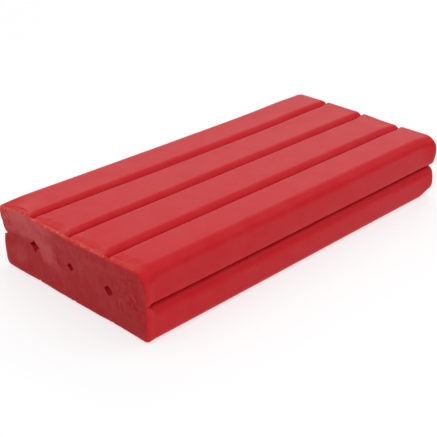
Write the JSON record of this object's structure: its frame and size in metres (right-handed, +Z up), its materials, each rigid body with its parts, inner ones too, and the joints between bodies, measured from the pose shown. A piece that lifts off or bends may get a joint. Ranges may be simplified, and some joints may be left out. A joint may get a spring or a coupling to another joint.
{
  "type": "clay block",
  "caption": "Rectangular block of soft oil-bound clay pressed together from long round-cornered strips in two layers, with grooves along its faces, for pulling strips off and kneading.",
  "frame": {"origin": "middle of the underside, at the centre of the block's length and width", "axes": "+X along the strips, -Y towards strip 4, +Z up from the underside"},
  "size_m": [0.161, 0.074, 0.027],
  "materials": {
    "clay": "waxy matte oil-bound clay"
  },
  "bodies": {
    "lower_strip_1": {"lower_strip_1": "clay"},
    "lower_strip_2": {"lower_strip_2": "clay"},
    "lower_strip_3": {"lower_strip_3": "clay"},
    "lower_strip_4": {"lower_strip_4": "clay"},
    "upper_strip_1": {"upper_strip_1": "clay"},
    "upper_strip_2": {"upper_strip_2": "clay"},
    "upper_strip_3": {"upper_strip_3": "clay"},
    "upper_strip_4": {"upper_strip_4": "clay"}
  },
  "joints": [
    {"name": "lower_strip_1_peel", "type": "slide", "parent": "lower_strip_2", "child": "lower_strip_1", "axis": [0, 1, 0], "range_m": [0, 0.025]},
    {"name": "lower_strip_3_peel", "type": "slide", "parent": "lower_strip_2", "child": "lower_strip_3", "axis": [0, -1, 0], "range_m": [0, 0.025]},
    {"name": "lower_strip_4_peel", "type": "slide", "parent": "lower_strip_3", "child": "lower_strip_4", "axis": [0, -1, 0], "range_m": [0, 0.025]},
    {"name": "upper_strip_1_peel", "type": "slide", "parent": "lower_strip_1", "child": "upper_strip_1", "axis": [0, 0, 1], "range_m": [0, 0.02]},
    {"name": "upper_strip_2_peel", "type": "slide", "parent": "lower_strip_2", "child": "upper_strip_2", "axis": [0, 0, 1], "range_m": [0, 0.02]},
    {"name": "upper_strip_3_peel", "type": "slide", "parent": "lower_strip_3", "child": "upper_strip_3", "axis": [0, 0, 1], "range_m": [0, 0.02]},
    {"name": "upper_strip_4_peel", "type": "slide", "parent": "lower_strip_4", "child": "upper_strip_4", "axis": [0, 0, 1], "range_m": [0, 0.02]}
  ]
}
